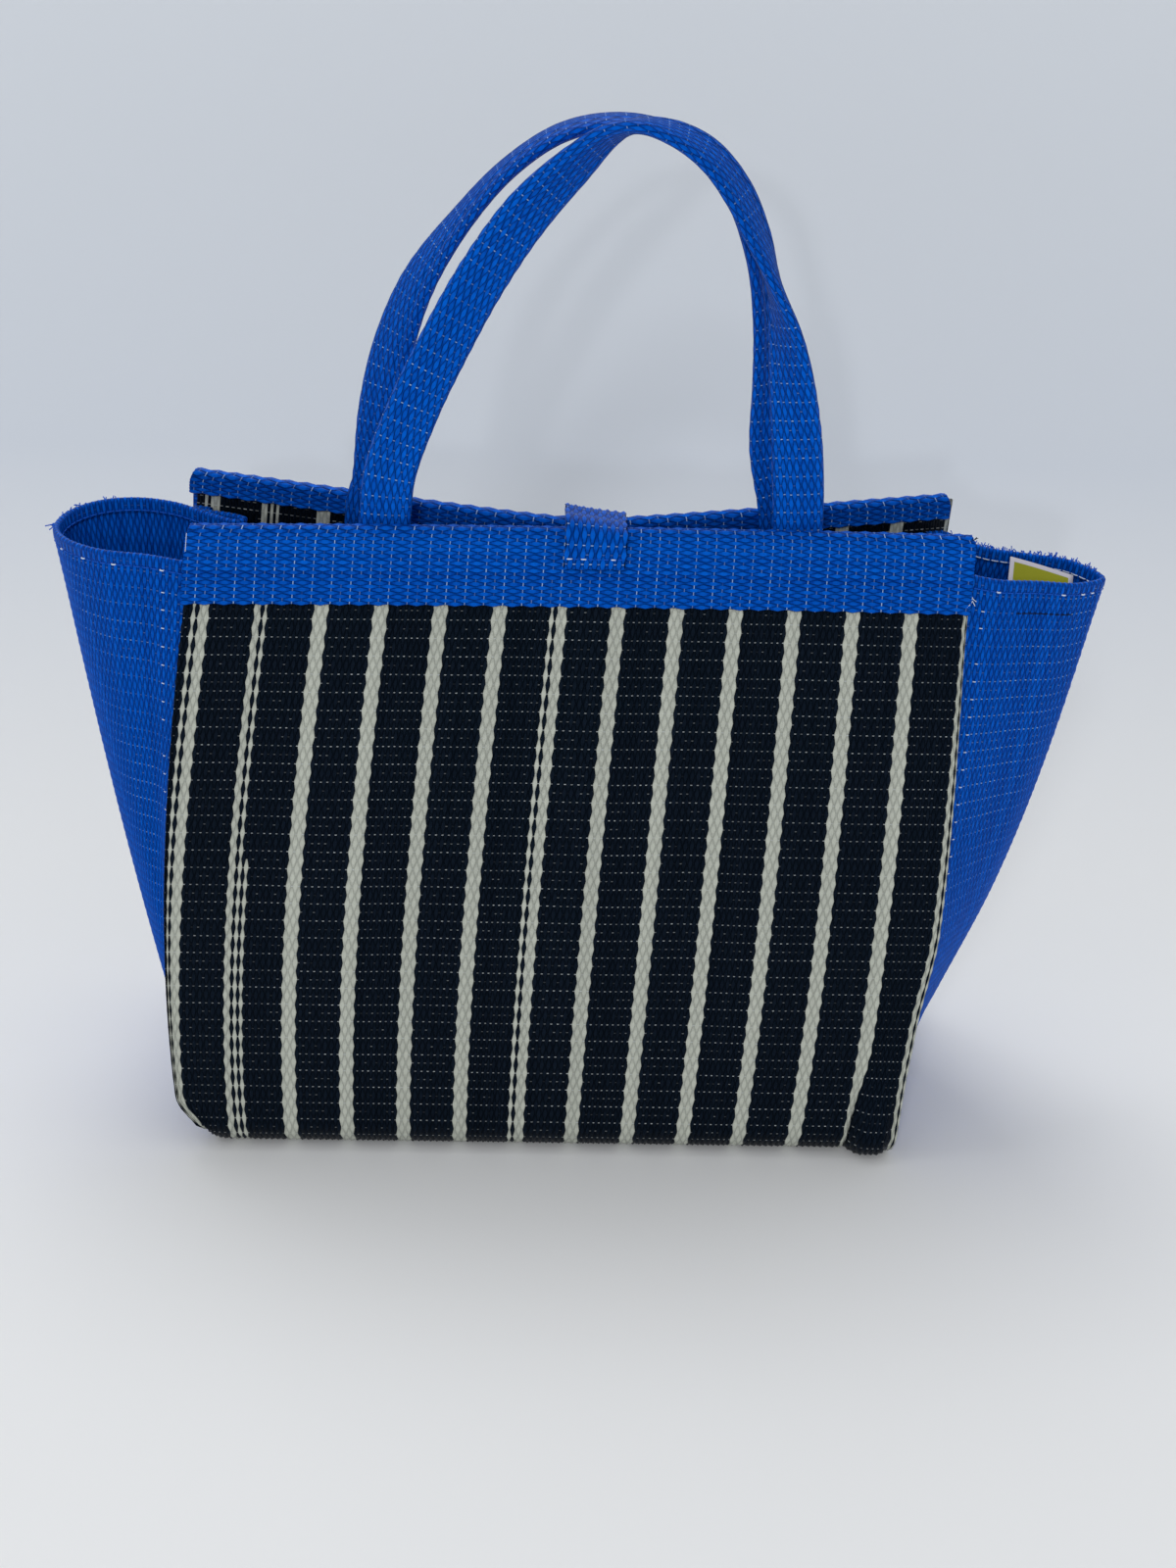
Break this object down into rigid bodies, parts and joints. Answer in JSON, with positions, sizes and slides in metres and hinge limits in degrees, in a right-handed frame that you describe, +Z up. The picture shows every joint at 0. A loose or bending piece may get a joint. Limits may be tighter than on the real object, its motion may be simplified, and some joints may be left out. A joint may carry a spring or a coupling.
{
  "type": "woven tote bag",
  "caption": "Small open tote bag of striped woven plastic cloth with blue side wings, folded rim bands, strap handles and a closing tab, standing on its base.",
  "frame": {"origin": "centre of the bag's flat base, on the surface that it stands on", "axes": "+Z up, +X to the right along the front panel, +Y from the front panel to the back panel"},
  "size_m": [0.3583, 0.1189, 0.3491],
  "materials": {
    "striped_cloth": "satin woven plastic strands, dark navy with cream stripes",
    "blue_cloth": "satin woven plastic strands, cobalt blue with fine white weft flecks",
    "hook_and_loop": "matt pile",
    "label_tape": "plain satin tape"
  },
  "bodies": {
    "root": {"body_strip": "striped_cloth", "left_gusset": "blue_cloth", "right_gusset": "blue_cloth", "front_band": "blue_cloth", "back_band": "blue_cloth", "front_handle": "blue_cloth", "back_handle": "blue_cloth", "closure_tab": "blue_cloth", "hook_patch": "hook_and_loop", "loop_patch": "hook_and_loop", "label": "label_tape"}
  },
  "joints": []
}
